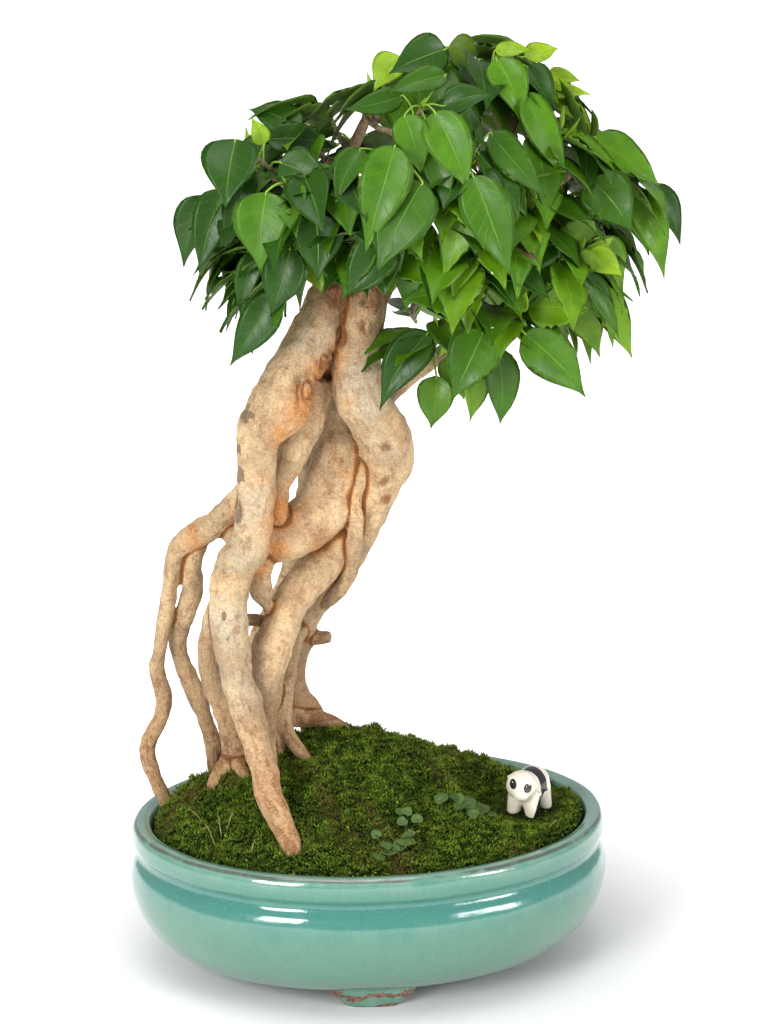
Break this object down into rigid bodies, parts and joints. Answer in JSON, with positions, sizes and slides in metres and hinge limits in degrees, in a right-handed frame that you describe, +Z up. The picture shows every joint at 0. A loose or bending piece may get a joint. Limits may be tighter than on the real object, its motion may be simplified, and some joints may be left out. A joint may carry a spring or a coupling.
{
  "type": "potted bonsai tree",
  "caption": "Ficus bonsai with tall exposed aerial roots and a leafy crown, in an oval glazed pot with moss and a small panda figurine.",
  "frame": {"origin": "on the ground under the middle of the overall box, about 18 mm right of the pot's own centre", "axes": "+Z up along the tree, +X to the right along the pot's long side, -Y to the front"},
  "size_m": [0.2992, 0.2078, 0.5081],
  "materials": {
    "teal_glaze": "glossy teal glaze, worn to brown clay at the rim edge",
    "soil": "dark gritty soil",
    "moss": "short green moss",
    "bark": "pale bark with orange and grey-green patches",
    "leaf": "glossy green leaves with pale midribs",
    "weed": "soft pale green leaves",
    "china": "glossy cream with black patches",
    "screen": "black plastic mesh"
  },
  "bodies": {
    "root": {"drain_screen_left": "screen", "drain_screen_right": "screen", "leafy_shoot_01": "leaf", "leafy_shoot_02": "leaf", "leafy_shoot_03": "leaf", "leafy_shoot_04": "leaf", "leafy_shoot_05": "leaf", "leafy_shoot_06": "leaf", "leafy_shoot_07": "leaf", "leafy_shoot_08": "leaf", "leafy_shoot_09": "leaf", "leafy_shoot_10": "leaf", "leafy_shoot_11": "leaf", "leafy_shoot_12": "leaf", "leafy_shoot_13": "leaf", "leafy_shoot_14": "leaf", "leafy_shoot_15": "leaf", "leafy_shoot_16": "leaf", "leafy_shoot_17": "leaf", "leafy_shoot_18": "leaf", "leafy_shoot_19": "leaf", "leafy_shoot_20": "leaf", "leafy_shoot_21": "leaf", "leafy_shoot_22": "leaf", "leafy_shoot_23": "leaf", "leafy_shoot_24": "leaf", "leafy_shoot_25": "leaf", "leafy_shoot_26": "leaf", "leafy_shoot_27": "leaf", "leafy_shoot_28": "leaf", "leafy_shoot_29": "leaf", "leafy_shoot_30": "leaf", "leafy_shoot_31": "leaf", "leafy_shoot_32": "leaf", "leafy_shoot_centre_bud": "leaf", "leafy_shoot_crown_top": "leaf", "leafy_shoot_front_centre": "leaf", "leafy_shoot_front_left": "leaf", "leafy_shoot_front_low": "leaf", "leafy_shoot_front_mid": "leaf", "leafy_shoot_left_bud": "leaf", "leafy_shoot_left_low": "leaf", "leafy_shoot_left_under": "leaf", "leafy_shoot_low_mid": "leaf", "leafy_shoot_low_right": "leaf", "leafy_shoot_right_far": "leaf", "leafy_shoot_right_mid": "leaf", "leafy_shoot_right_top": "leaf", "leafy_shoot_right_upper": "leaf", "leafy_shoot_top_right": "leaf", "moss_carpet": "moss", "panda_figurine": "china", "pot": "teal_glaze", "soil": "soil", "tree": "bark", "weed_front": "weed", "weed_side": "weed"}
  },
  "joints": []
}
